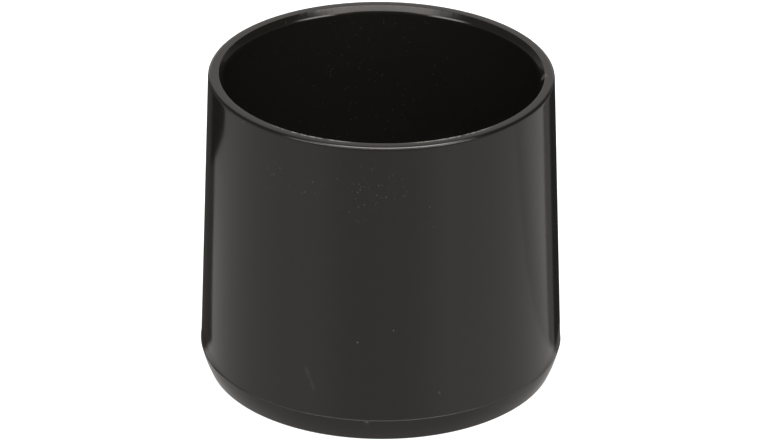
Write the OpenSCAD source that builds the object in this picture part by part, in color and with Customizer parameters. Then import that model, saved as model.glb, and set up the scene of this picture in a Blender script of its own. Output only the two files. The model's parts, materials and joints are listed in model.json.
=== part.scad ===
// Chair leg tip: a plain cup, moulded in one piece from black plastic.
// It pushes over the end of a round tube leg, mouth up, and stands on its bevelled foot.
// The origin is the centre of the face that meets the floor, and +Z runs up the socket.

/* [Socket] */
// Diameter of the leg that the socket grips
leg_d = 25.4; // [16:0.1:50]
// Depth of the socket, from the rim down to its floor
socket_depth = 22.7; // [12:0.1:60]
// Radius of the rounded lip that leads the leg in
lip_r = 0.5; // [0.1:0.05:0.8]
// Fillet between the socket's wall and its floor
socket_fillet_r = 0.8; // [0.2:0.1:3]

/* [Wall] */
// Thickness of the wall at the rim
rim_wall = 1.2; // [0.8:0.1:4]
// Radius of the rim's outer edge
rim_edge_r = 0.3; // [0.05:0.05:0.6]
// Draft of the outer wall, which widens downwards, in degrees
draft = 2.1; // [0.5:0.1:5]

/* [Foot] */
// Thickness of the solid foot under the socket
foot_t = 3.2; // [2:0.1:8]
// Height of the mould's parting line above the floor
parting_h = 2.15; // [1.2:0.05:5]
// How far the foot steps out past the drafted wall at the parting line
parting_step = 0.1; // [0.02:0.01:0.4]
// Inward lean of the bevelled band below the parting line, in degrees
band_lean = 19; // [2:1:35]
// Radius of the edge between the band and the floor face
floor_edge_r = 0.3; // [0.1:0.1:2]

/* [Underside] */
// Diameter of the shallow well round the moulding gate
well_d = 9; // [5:0.5:14]
// Depth of the well
well_depth = 0.5; // [0.3:0.05:1]
// Radius of the well's edges
well_edge_r = 0.2; // [0.05:0.05:0.5]
// Diameter of the gate's broken-off stub
stub_d = 1.8; // [1:0.1:3]
// Height of the stub, which stays inside the well
stub_h = 0.25; // [0.1:0.05:0.28]

/* [Hidden] */

black = [0.13, 0.125, 0.12];
round_fn = 180; // facets round the axis
arc_step = 7.5; // degrees turned by each facet of a rounded edge

bore_r = leg_d / 2;
rim_r = bore_r + rim_wall;
tip_h = foot_t + socket_depth;
foot_r = wall_r(parting_h) + parting_step;
floor_r = foot_r - parting_h * tan(band_lean);
well_r = well_d / 2;
stub_r = stub_d / 2;
stub_z = well_depth - stub_h;

// Outer radius of the drafted wall at height z
function wall_r(z) = rim_r + (tip_h - z) * tan(draft);

// Half of the turned section, once round from the gate's stub.
// Each corner is [radius, height, rounding], and the step at the parting line stays sharp.
section = [
    [0, stub_z, 0],
    [stub_r, stub_z, 0],
    [stub_r, well_depth, 0],
    [well_r - well_depth, well_depth, well_edge_r],
    [well_r, 0, well_edge_r],
    [floor_r, 0, floor_edge_r],
    [foot_r, parting_h, 0],
    [wall_r(parting_h), parting_h, 0],
    [rim_r, tip_h, rim_edge_r],
    [bore_r, tip_h, lip_r],
    [bore_r, foot_t, socket_fillet_r],
    [0, foot_t, 0],
];

function unit(v) = v / norm(v);

function place(corner) = [corner[0], corner[1]];

// Points of the arc that rounds corner b between its neighbours a and c.
// Its radius is r, or less where half of a neighbouring edge is too short for it.
function corner_arc(a, b, c, r) =
    let (
        to_a = unit(a - b),
        to_c = unit(c - b),
        half = acos(to_a * to_c) / 2,
        reach = min(r / tan(half), norm(a - b) / 2, norm(c - b) / 2),
        arc_r = reach * tan(half),
        centre = b + unit(to_a + to_c) * arc_r / sin(half),
        first = b + to_a * reach - centre,
        last = b + to_c * reach - centre,
        start = atan2(first[1], first[0]),
        turn = sign(cross(first, last)) * (180 - 2 * half),
        steps = ceil(abs(turn) / arc_step)
    )
    [for (i = [0 : steps]) let (at = start + turn * i / steps) centre + arc_r * [cos(at), sin(at)]];

// The closed outline, with an arc at every corner that has a rounding
function rounded(corners) =
    let (n = len(corners))
    [
        for (i = [0 : n - 1])
            let (
                before = corners[(i + n - 1) % n],
                corner = corners[i],
                after = corners[(i + 1) % n]
            )
            each corner[2] == 0
                ? [place(corner)]
                : corner_arc(place(before), place(corner), place(after), corner[2])
    ];

module leg_tip() {
    color(black)
        rotate_extrude($fn = round_fn)
            polygon(rounded(section));
}

leg_tip();
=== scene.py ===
import json
import math

import bmesh
import bpy
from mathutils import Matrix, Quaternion, Vector, noise


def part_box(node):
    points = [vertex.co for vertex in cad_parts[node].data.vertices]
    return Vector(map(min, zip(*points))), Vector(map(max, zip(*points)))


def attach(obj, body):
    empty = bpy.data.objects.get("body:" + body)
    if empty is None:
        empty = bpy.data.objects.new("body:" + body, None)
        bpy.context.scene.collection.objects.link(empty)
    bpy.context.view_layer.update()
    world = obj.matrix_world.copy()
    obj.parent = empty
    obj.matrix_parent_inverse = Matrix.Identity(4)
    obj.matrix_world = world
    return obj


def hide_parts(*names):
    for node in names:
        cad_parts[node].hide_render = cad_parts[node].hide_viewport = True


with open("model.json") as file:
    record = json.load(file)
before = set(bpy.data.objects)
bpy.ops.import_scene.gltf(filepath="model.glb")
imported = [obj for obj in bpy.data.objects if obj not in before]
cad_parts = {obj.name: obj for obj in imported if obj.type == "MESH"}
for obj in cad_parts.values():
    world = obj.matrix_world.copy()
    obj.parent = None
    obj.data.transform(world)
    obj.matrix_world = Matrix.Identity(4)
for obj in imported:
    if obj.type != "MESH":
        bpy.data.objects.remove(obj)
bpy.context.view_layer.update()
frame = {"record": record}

# Leg tip: a plain cup, injection moulded in black plastic, which pushes over the end of a round tube leg.
# The halves of its mould meet at a parting line low on the wall, where the foot steps out by a hair,
# and the sprue was broken off in the shallow well under the foot.
mm = 0.001
leg_socket = next(m for m in frame["record"]["mounts"] if m["name"] == "leg_socket")
tip_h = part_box("leg_tip")[1].z

bore_r = leg_socket["dims"]["r_mm"] * mm
rim_wall = 1.2 * mm
lip = 0.38 * mm
lip_h = 0.52 * mm
lip_top_r = 0.05 * mm
lip_foot_r = 0.5 * mm
rim_edge_r = 0.26 * mm
rim_ease_h = 0.3 * mm
rim_ease = 0.045 * mm
rim_ease_r = 1.5 * mm
draft = math.radians(2.1)

foot_t = 3.2 * mm
socket_fillet_r = 0.8 * mm

parting_h = 2.15 * mm
parting_step = 0.04 * mm
parting_edge_r = 0.025 * mm
band_lean = math.radians(19.35)
band_belly = 0.075 * mm
band_belly_r = 7 * mm
floor_edge_r = 0.3 * mm

well_r = 4.5 * mm
well_depth = 0.5 * mm
well_edge_r = 0.2 * mm
stub_r = 0.9 * mm
stub_h = 0.25 * mm
stub_edge_r = 0.06 * mm

rim_r = bore_r + rim_wall


def wall_r(height):
    """Outer radius of the drafted wall at this height."""
    return rim_r + (tip_h - height) * math.tan(draft)


ledge_r = wall_r(parting_h)
foot_r = ledge_r + parting_step
floor_r = foot_r - parting_h * math.tan(band_lean)
stub_z = well_depth - stub_h

# Corners of the turned section, from the gate stub round to the socket's floor: radius, height, rounding
corners = [
    (0, stub_z, 0),
    (stub_r, stub_z, stub_edge_r),
    (stub_r, well_depth, 0),
    (well_r - well_depth, well_depth, well_edge_r),
    (well_r, 0, well_edge_r),
    (floor_r, 0, floor_edge_r),
    ((floor_r + foot_r) / 2 + band_belly, parting_h / 2, band_belly_r),
    (foot_r, parting_h, parting_edge_r),
    (ledge_r, parting_h, 0),
    (wall_r(tip_h - rim_ease_h), tip_h - rim_ease_h, rim_ease_r),
    (rim_r - rim_ease, tip_h, rim_edge_r),
    (bore_r + lip, tip_h, lip_top_r),
    (bore_r, tip_h - lip_h, lip_foot_r),
    (bore_r, foot_t, socket_fillet_r),
    (0, foot_t, 0),
]
turn_steps = 640
edge_segments = 8
touch = 0.001 * mm

cup = bmesh.new()
section = [cup.verts.new((radius, 0, height)) for radius, height, _ in corners]
sides = [cup.edges.new(pair) for pair in zip(section, section[1:])]
bmesh.ops.spin(
    cup, geom=section + sides, cent=(0, 0, 0), axis=(0, 0, 1), dvec=(0, 0, 0),
    angle=math.tau, steps=turn_steps, use_merge=True,
)
bmesh.ops.remove_doubles(cup, verts=cup.verts, dist=touch)
bmesh.ops.recalc_face_normals(cup, faces=cup.faces)


def on_ring(vert, radius, height):
    """True where a vertex lies on the ring of this radius and height."""
    return abs(vert.co.xy.length - radius) < touch and abs(vert.co.z - height) < touch


# The ring where the step meets the wall stays sharp
for edge in cup.edges:
    edge.smooth = not all(on_ring(vert, ledge_r, parting_h) for vert in edge.verts)

for before, corner, after in zip(corners, corners[1:], corners[2:]):
    radius, height, rounding = corner
    if rounding == 0:
        continue
    into = Vector(corner[:2]) - Vector(before[:2])
    out_of = Vector(after[:2]) - Vector(corner[:2])
    bmesh.ops.bevel(
        cup, geom=[e for e in cup.edges if all(on_ring(v, radius, height) for v in e.verts)],
        offset=rounding * math.tan(into.angle(out_of) / 2), offset_type="OFFSET",
        segments=edge_segments, profile=0.5, affect="EDGES", material=-1,
    )


def outward(vert):
    """The level direction from the axis to a vertex."""
    return Vector((vert.co.x, vert.co.y, 0)).normalized()


# The mould's lower half sits a hair to the left, and its step is torn unevenly, with one nick in front
mould_shift = Vector((-0.02 * mm, 0, 0))
step_wave = 2.5 * mm
step_wander = 0.04 * mm
nick_at = Vector((-1.05 * mm, -foot_r, parting_h))
nick_r = 0.3 * mm
nick_out = Vector((0, -0.16 * mm, -0.12 * mm))
lower = [
    vert for vert in cup.verts
    if vert.co.z < parting_h + touch and not on_ring(vert, ledge_r, parting_h)
]
for vert in lower:
    if vert.co.z > parting_h - 2 * parting_edge_r and vert.co.xy.length > ledge_r:
        uneven = step_wander * noise.noise(vert.co / step_wave)
        nicked = max(0, 1 - (vert.co - nick_at).length / nick_r)
        vert.co += outward(vert) * uneven + nick_out * nicked
bmesh.ops.translate(cup, vec=mould_shift, verts=lower)

# The lip's upper edge is ragged, and its circle sits a hair to the right and to the front
lip_shift = Vector((0.03 * mm, -0.05 * mm, 0))
lip_wave = 0.3 * mm
lip_wander = 0.015 * mm
for vert in cup.verts:
    if abs(vert.co.xy.length - bore_r - lip) < lip_top_r and vert.co.z > tip_h - lip_top_r:
        ragged = lip_wander * noise.noise(vert.co / lip_wave)
        vert.co += lip_shift + outward(vert) * ragged

# The tip cooled slightly out of true, so its axis leans to the left
# and its rim is lower at the right and at the front
axis_lean = 0.0023
rim_tilt = Vector((-0.004, 0.0045, 0))
for vert in cup.verts:
    vert.co.z += rim_tilt.dot(vert.co) * vert.co.z / tip_h
    vert.co.x -= axis_lean * (vert.co.z - tip_h / 2)

for face in cup.faces:
    face.smooth = True
tip_mesh = bpy.data.meshes.new("leg_tip_moulding")
cup.to_mesh(tip_mesh)
cup.free()
tip = bpy.data.objects.new("leg_tip_moulding", tip_mesh)
bpy.context.scene.collection.objects.link(tip)
even_shading = tip.modifiers.new("even_shading", "WEIGHTED_NORMAL")
even_shading.keep_sharp = True


class Wire:
    """An output of a shader tree. Arithmetic on it adds Math nodes, and node() adds any other kind."""

    def __init__(self, tree, socket=None):
        self.tree = tree
        self.socket = socket

    def node(self, kind, settings, inputs, output):
        """Adds a node, makes its settings, then its values and links, and wraps the named output."""
        made = self.tree.nodes.new(kind)
        for name, setting in settings.items():
            setattr(made, name, setting)
        sockets = {s.identifier: s for s in made.inputs}
        for name, value in inputs.items():
            if isinstance(value, Wire):
                self.tree.links.new(value.socket, sockets[name])
            else:
                sockets[name].default_value = value
        outputs = {s.identifier: s for s in made.outputs}
        return Wire(self.tree, outputs[output])

    def maths(self, operation, first, second=0):
        """Adds a Math node."""
        inputs = {"Value": first, "Value_001": second}
        return self.node("ShaderNodeMath", {"operation": operation}, inputs, "Value")

    def __add__(self, other):
        return self.maths("ADD", self, other)

    def __radd__(self, other):
        return self.maths("ADD", other, self)

    def __sub__(self, other):
        return self.maths("SUBTRACT", self, other)

    def __rsub__(self, other):
        return self.maths("SUBTRACT", other, self)

    def __mul__(self, other):
        return self.maths("MULTIPLY", self, other)

    def __rmul__(self, other):
        return self.maths("MULTIPLY", other, self)

    def __neg__(self):
        return self.maths("MULTIPLY", self, -1)

    def __abs__(self):
        return self.maths("ABSOLUTE", self)

    def ease(self, start, end):
        """From 0 where this wire is at start to 1 where it is at end, without corners."""
        settings = {"interpolation_type": "SMOOTHSTEP"}
        inputs = {"Value": self, "From Min": start, "From Max": end}
        return self.node("ShaderNodeMapRange", settings, inputs, "Result")

    def axis(self, name):
        """One coordinate of a vector."""
        return self.node("ShaderNodeSeparateXYZ", {}, {"Vector": self}, name)

    def length(self):
        """The length of a vector."""
        return self.node("ShaderNodeVectorMath", {"operation": "LENGTH"}, {"Vector": self}, "Value")

    def blend(self, first, second):
        """A colour between two others, by this wire as the factor."""
        inputs = {"Factor_Float": self, "A_Color": first, "B_Color": second}
        return self.node("ShaderNodeMix", {"data_type": "RGBA"}, inputs, "Result_Color")


plastic = bpy.data.materials.new("black_plastic")
plastic.use_nodes = True
plastic_tree = Wire(plastic.node_tree)
place = plastic_tree.node("ShaderNodeTexCoord", {}, {}, "Object")
sideways = place.axis("X")
depth = place.axis("Y")
level = place.axis("Z")
from_axis = place.node("ShaderNodeCombineXYZ", {}, {"X": sideways, "Y": depth}, "Vector").length()


def cloud(size, detail):
    """Soft random patches of about this size on the plastic, from 0 to 1."""
    inputs = {"Vector": place, "Scale": 1 / size, "Detail": detail}
    return place.node("ShaderNodeTexNoise", {}, inputs, "Fac")


def dots(spacing, radius):
    """Separate round specks on the plastic, about this far apart."""
    inputs = {"Vector": place, "Scale": 1 / spacing}
    from_dot = place.node("ShaderNodeTexVoronoi", {}, inputs, "Distance")
    return from_dot.ease(radius / spacing, 0.4 * radius / spacing)


def mark(centre, width, length, lean=0):
    """A soft mark round a point of the plastic, its length tipped from upright by the lean."""
    inputs = {
        "Vector": place, "Location": centre, "Rotation": (0, lean, 0), "Scale": (width, length, length),
    }
    from_centre = place.node("ShaderNodeMapping", {"vector_type": "TEXTURE"}, inputs, "Vector")
    return from_centre.length().ease(1, 0.3)


def front_marks(marks):
    """Soft marks on the front of the wall, added up.

    Each is its x, height, width and length in millimetres, its lean, and its strength.
    """
    total = 0
    for x, z, width, length, lean, strength in marks:
        out = math.sqrt(wall_r(z * mm) ** 2 - (x * mm) ** 2)
        centre = Vector((x * mm, -out, z * mm))
        total = total + strength * mark(centre, width * mm, length * mm, lean)
    return total


black = (0.0070, 0.0064, 0.0056, 1)
# This grey paints dust and also painted glints; the lighter one under it paints glints on the lip's edge
dust_and_glint_grey = (0.045, 0.044, 0.043, 1)
edge_glint_grey = (0.16, 0.156, 0.148, 1)
scuff_lean = -0.25
dust_patches = [
    (-8.5, 22, 2, 2, 0, 1.4),
    (-5.2, 21.9, 3, 1.8, 0, 1),
    (-1.2, 21.8, 4.5, 3.6, 0, 0.75),
    (4.4, 19.9, 1.8, 2.2, 0, 1),
]
large_specks = [
    (-1.82, 9, 0.13, 0.1, 0, 1),
    (1.02, 10.08, 0.08, 0.1, 0, 1),
    (4.71, 4.26, 0.1, 0.16, 0, 0.6),
    (-10.84, 25.5, 0.12, 0.12, 0, 0.7),
]
scuff = [
    (-5.8, 5.8, 0.3, 0.8, scuff_lean, 0.15),
    (-5.4, 4.7, 0.2, 0.8, scuff_lean, 0.15),
]

# Fine dust lies thinly all over, more in the socket, and thickest in the patches on the front
wall_dust = 0.1
socket_dust = 0.32
rim_dust = 0.2
in_socket = from_axis.ease(bore_r + 0.6 * mm, bore_r + 0.3 * mm)
patchy = (0.15 + 0.6 * cloud(0.5 * mm, 0).ease(0.4, 0.65)) * cloud(1.6 * mm, 1).ease(0.3, 0.5)
thickness = wall_dust + socket_dust * in_socket + front_marks(dust_patches)
on_walls = thickness * patchy * dots(0.36 * mm, 0.085 * mm)
on_rim = rim_dust * level.ease(tip_h - 0.15 * mm, tip_h - 0.05 * mm) * dots(0.3 * mm, 0.07 * mm)

# Painted glints make the plastic pale along the parting line, at the nick and at a burr on the lip
line_glint = 0.4
nick_glint = 0.6
burr_glint_at = Vector((bore_r + 0.25 * mm, -0.4 * mm, tip_h - 0.2 * mm))
at_line = abs(level - parting_h).ease(0.05 * mm, 0.03 * mm) * cloud(2.5 * mm, 1).ease(0.15, 0.5)
at_nick = mark(nick_at + nick_out / 2, 0.12 * mm, 0.16 * mm)
painted_glints = line_glint * at_line + nick_glint * at_nick + mark(burr_glint_at, 0.4 * mm, 0.6 * mm)
# Pale is the dust, specks and scuff together with the painted glints
pale = on_walls + on_rim + front_marks(large_specks + scuff) + painted_glints

# Painted glints on the lip's edge, in two stretches of the front, one on each side of the middle
edge_glint_r = bore_r + lip + 0.14 * mm
off_middle = abs(sideways)
on_edge = abs(from_axis - edge_glint_r).ease(0.13 * mm, 0.04 * mm)
on_top = level.ease(tip_h - 0.25 * mm, tip_h - 0.12 * mm)
at_front = depth.ease(-5 * mm, -8 * mm)
in_stretch = off_middle.ease(1.5 * mm, 4 * mm) * off_middle.ease(9.3 * mm, 6.8 * mm)
painted_edge_glints = on_edge * on_top * at_front * in_stretch * cloud(0.4 * mm, 3).ease(0.38, 0.62)

# The moulded skin is wavy by about a micrometre, and its gloss varies a little
peel_size = 0.7 * mm
peel_depth = 0.0012 * mm
gloss_size = 4 * mm
gloss_roughness = 0.10
gloss_spread = 0.06
pale_roughness = 0.2
peel = {"Strength": 1, "Distance": peel_depth, "Height": cloud(peel_size, 2)}
relief = plastic_tree.node("ShaderNodeBump", {}, peel, "Normal")
roughness = gloss_roughness + gloss_spread * cloud(gloss_size, 3) + pale_roughness * pale
colour = painted_edge_glints.blend(pale.blend(black, dust_and_glint_grey), edge_glint_grey)

finish = plastic.node_tree.nodes["Principled BSDF"]
finish.inputs["IOR"].default_value = 1.5
plastic.node_tree.links.new(colour.socket, finish.inputs["Base Color"])
plastic.node_tree.links.new(roughness.socket, finish.inputs["Roughness"])
plastic.node_tree.links.new(relief.socket, finish.inputs["Normal"])
tip_mesh.materials.append(plastic)

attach(tip, "root")
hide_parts("leg_tip")

# Floor: a plain pale sheet that the tip stands on, bright enough to read as white round the part.
# It stays out of the plastic's gloss, which mirrors the studio round it instead.
floor_half = 4000 * mm
floor_glow = 1
white = (1, 1, 1, 1)
paper_grey = (0.25, 0.25, 0.25, 1)
sheet = bmesh.new()
bmesh.ops.create_grid(sheet, x_segments=1, y_segments=1, size=floor_half)
floor_mesh = bpy.data.meshes.new("floor")
sheet.to_mesh(floor_mesh)
sheet.free()
floor = bpy.data.objects.new("floor", floor_mesh)
bpy.context.scene.collection.objects.link(floor)
floor.visible_glossy = False
paper = bpy.data.materials.new("pale_paper")
paper.use_nodes = True
paper_finish = paper.node_tree.nodes["Principled BSDF"]
paper_finish.inputs["Base Color"].default_value = paper_grey
paper_finish.inputs["Specular IOR Level"].default_value = 0
paper_finish.inputs["Roughness"].default_value = 1
paper_finish.inputs["Emission Color"].default_value = white
paper_finish.inputs["Emission Strength"].default_value = floor_glow
floor_mesh.materials.append(paper)

# Studio: a dim room with a pale table, a softbox above the front with a gap at the camera, a lower box on
# each side, and a lit back wall that rises overhead. Cards over the table, which only the gloss sees,
# shade it behind the part and draw the part's dark edges.
studio_tint = (1.0, 0.95, 0.92, 1)
room_light = 0.06
table_light = 0.65
core_light = 7.6
rest_light = 3.3
side_light = 5.5
wall_light = 0.53
wall_foot_light = 0.47
world = bpy.data.worlds.new("studio")
bpy.context.scene.world = world
world.use_nodes = True
sky_tree = Wire(world.node_tree)

# A direction's parts to the right, to the front and up, and its angle from the back horizon over the top.
# Each ease on these is the soft edge of a light or a shade, from where it starts to where it is full.
toward = sky_tree.node("ShaderNodeTexCoord", {}, {}, "Generated")
right = toward.axis("X")
front = -toward.axis("Y")
rise = toward.axis("Z")
aside = abs(right)
over = sky_tree.maths("ARCTAN2", rise, toward.axis("Y"))

# The room is darker round the camera, and the table far in front of the part and close to it
camera_shade = aside.ease(0.45, 0.2) * front.ease(0.3, 0.7)
room = (room_light - 0.05 * right + 0.11 * rise.ease(0.3, 0.1)) * (1 - 0.8 * camera_shade)
far_table = table_light + 0.04 * right - 0.18 * front.ease(0.66, 0.92)
table = far_table * (1 - 0.4 * rise.ease(-0.5, -0.8))
below = rise.ease(-0.16, -0.26)

# The softbox has a bright core, a little to the right
camera_gap = over.ease(2.4, 2.65) * aside.ease(0.45, 0.3)
upper_edge = (over + 0.12 * right).ease(1.72, 1.95)
box_core = core_light * over.ease(2.3, 2.1) * abs(right - 0.1).ease(0.6, 0.35)
box_rest = rest_light * abs(right - 0.01).ease(0.76, 0.4)
softbox = upper_edge * (box_core + box_rest) * (1 - camera_gap) * rise.ease(0.3, 0.45)

side_width = aside.ease(0.5, 0.62) * aside.ease(0.88, 0.78)
side_height = rise.ease(0.05, 0.15) * rise.ease(0.5, 0.35)
side_boxes = side_light * side_width * side_height * front.ease(0.3, 0.45)

# The back wall is brightest at its foot
wall_height = over.ease(0.02, 0.1) * over.ease(1.9, 1.4)
wall_level = wall_light + wall_foot_light * over.ease(0.36, 0.2)
back_wall = wall_level * aside.ease(0.62, 0.3) * wall_height

# The backdrop that the camera sees past the floor is plain white
glow = (1 - below) * room + below * table + softbox + side_boxes + back_wall
seen = sky_tree.node("ShaderNodeLightPath", {}, {}, "Is Camera Ray")
backdrop = world.node_tree.nodes["Background"]
world.node_tree.links.new(seen.blend(studio_tint, white).socket, backdrop.inputs["Color"])
world.node_tree.links.new((glow + (1 - glow) * seen).socket, backdrop.inputs["Strength"])


def card(name, outline, height, front_light, back_light, reach):
    """A card over the table that only the gloss of the plastic sees, its sizes in millimetres.

    Its light changes from front to back over the reach in Y.
    """
    shape = bmesh.new()
    shape.faces.new([shape.verts.new((x * mm, y * mm, height * mm)) for x, y in outline])
    mesh = bpy.data.meshes.new(name)
    shape.to_mesh(mesh)
    shape.free()
    made = bpy.data.objects.new(name, mesh)
    bpy.context.scene.collection.objects.link(made)
    made.visible_camera = False
    made.visible_diffuse = False
    made.visible_shadow = False
    made.visible_transmission = False
    made.visible_volume_scatter = False
    felt = bpy.data.materials.new(name)
    felt.use_nodes = True
    to_back = Wire(felt.node_tree).node("ShaderNodeTexCoord", {}, {}, "Object").axis("Y")
    along = to_back.ease(reach[0] * mm, reach[1] * mm)
    lights = [[part * light for part in studio_tint[:3]] + [1] for light in (front_light, back_light)]
    felt_finish = felt.node_tree.nodes["Principled BSDF"]
    felt_finish.inputs["Base Color"].default_value = (0, 0, 0, 1)
    felt_finish.inputs["Specular IOR Level"].default_value = 0
    felt_finish.inputs["Emission Strength"].default_value = 1
    felt.node_tree.links.new(along.blend(*lights).socket, felt_finish.inputs["Emission Color"])
    mesh.materials.append(felt)


# The large cards fan out behind the part and meet at these corners
near_y = 0.3
left_near = (-18.9, near_y)
left_far = (-255, 304)
right_near = (16.9, near_y)
right_far = (236, 337)
outer_near = (19, near_y)
outer_far = (300, 273)
table_half = 400
shade_left = [(0, near_y), left_near, left_far, (0, left_far[1])]
shade_right = [(0, near_y), right_near, right_far, (0, right_far[1])]
shade_far_right = [right_near, outer_near, outer_far, right_far]
table_left = [left_near, (-table_half, near_y), (-table_half, left_far[1]), left_far]
table_right = [outer_near, (table_half, near_y), (table_half, outer_far[1]), outer_far]

# The others lie over them, higher by 0.02 mm at most
table_end = [(-34.5, 32.5), (-57, 24.5), (-365, 270), (-243, 378)]
beside_foot = [(14, 0.8), (17.2, 0.8), (16.6, 6), (14, 6)]
close_r = 17.6
close_steps = 96
turns = [math.tau * i / close_steps for i in range(close_steps)]
close_shade = [(close_r * math.cos(turn), close_r * math.sin(turn)) for turn in turns]

# Each card's height, its light at the front and at the back, and its reach
shade_reach = (near_y, 1.7)
card("shade_left", shade_left, 0, 0.58, 0.07, shade_reach)
card("shade_right", shade_right, 0, 0.52, 0.025, shade_reach)
card("shade_far_right", shade_far_right, 0, 0.56, 0.2, shade_reach)
card("table_left", table_left, -0.02, 0.61, 0.38, (4, 40))
card("table_right", table_right, -0.02, 0.57, 0.69, (0, 16))
card("table_end", table_end, 0.005, 0.02, 0.02, (0, 1))
card("close_shade", close_shade, 0.01, 0.47, 0.05, (-0.3, 1.6))
card("beside_foot", beside_foot, 0.02, 0.16, 0.16, (0, 1))

# Camera: a long lens in front of the part, looking down on it so that the mouth shows as an ellipse.
# It is rolled by a hair, and its aim puts the part where the photograph has it.
image_w = 760
focal_px = 4820
camera_far = 392 * mm
camera_lift = math.radians(26.483)
camera_roll = math.radians(0.274)
middle = Vector((0, 0, 13 * mm))
off_centre_px = Vector((1.091, 4.115))
back = Vector((0, -math.cos(camera_lift), math.sin(camera_lift)))
up = Vector((0, math.sin(camera_lift), math.cos(camera_lift)))
px = camera_far / focal_px
aim = middle - Vector((1, 0, 0)) * off_centre_px.x * px - up * off_centre_px.y * px
lens = bpy.data.cameras.new("camera")
lens.sensor_width = 36
lens.lens = focal_px * lens.sensor_width / image_w
lens.clip_start = 10 * mm
camera = bpy.data.objects.new("camera", lens)
camera.location = middle + back * camera_far
camera.rotation_mode = "QUATERNION"
look = (aim - camera.location).to_track_quat("-Z", "Y")
camera.rotation_quaternion = look @ Quaternion((0, 0, 1), camera_roll)
bpy.context.scene.collection.objects.link(camera)
bpy.context.scene.camera = camera
bpy.context.scene.view_settings.view_transform = "Standard"
